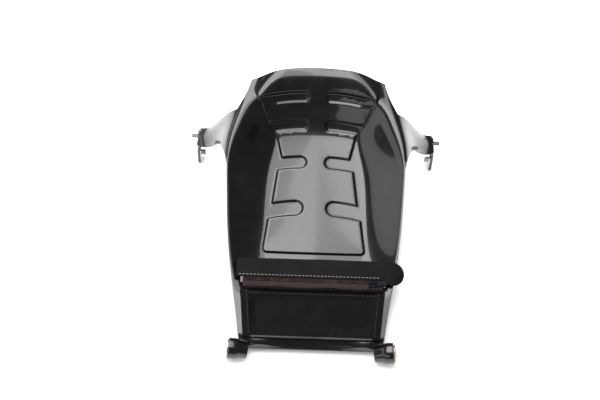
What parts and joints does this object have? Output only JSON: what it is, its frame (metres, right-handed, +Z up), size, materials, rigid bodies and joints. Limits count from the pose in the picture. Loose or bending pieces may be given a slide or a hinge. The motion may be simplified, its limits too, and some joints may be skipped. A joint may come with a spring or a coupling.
{
  "type": "motorcycle tank cover",
  "caption": "Moulded tub-shaped cover for a motorcycle tank with a raised comb relief, side ears, bushed rear lugs and a zipped leather pouch at the rear.",
  "frame": {"origin": "middle of the bounding box, on the surface it rests on", "axes": "+X to the right as the rider sees it, +Y forward to the raised lip, +Z up"},
  "size_m": [0.34, 0.3664, 0.1356],
  "materials": {
    "black_plastic": "glossy moulded",
    "zinc_steel": "zinc plated",
    "rusty_steel": "dull, some rust",
    "dark_leather": "fine grain",
    "flap_leather": "fine grain",
    "brown_tape": "woven",
    "zip_metal": "worn",
    "tape_end": "matt",
    "slider_metal": "dark lacquer"
  },
  "bodies": {
    "cover": {"cover_shell": "black_plastic", "rear_bush_left": "zinc_steel", "rear_bush_right": "rusty_steel", "clip_nut_left": "zinc_steel", "clip_nut_right": "zinc_steel", "pouch_front": "dark_leather", "pouch_back": "dark_leather", "pouch_band_left": "dark_leather", "pouch_band_right": "dark_leather", "pouch_hem": "dark_leather", "pouch_flap": "flap_leather", "zip_tape_front": "brown_tape", "zip_tape_rear": "brown_tape", "zip_chain": "zip_metal", "zip_stop": "tape_end", "pouch_rivet_1": "zinc_steel", "pouch_rivet_2": "zinc_steel", "pouch_rivet_3": "zinc_steel", "pouch_rivet_4": "zinc_steel"},
    "slider": {"zip_slider": "slider_metal"},
    "pull": {"zip_pull": "slider_metal"}
  },
  "joints": [
    {"name": "zip_slide", "type": "slide", "parent": "cover", "child": "slider", "axis": [-1, 0, 0], "range_m": [0, 0.15], "deforming": ["zip_chain"]},
    {"name": "pull_hinge", "type": "hinge", "parent": "slider", "child": "pull", "pos_m": [0.0744, -0.09021, 0.046], "axis": [0, -0.9677, -0.2521], "range_deg": [0, 165]}
  ]
}
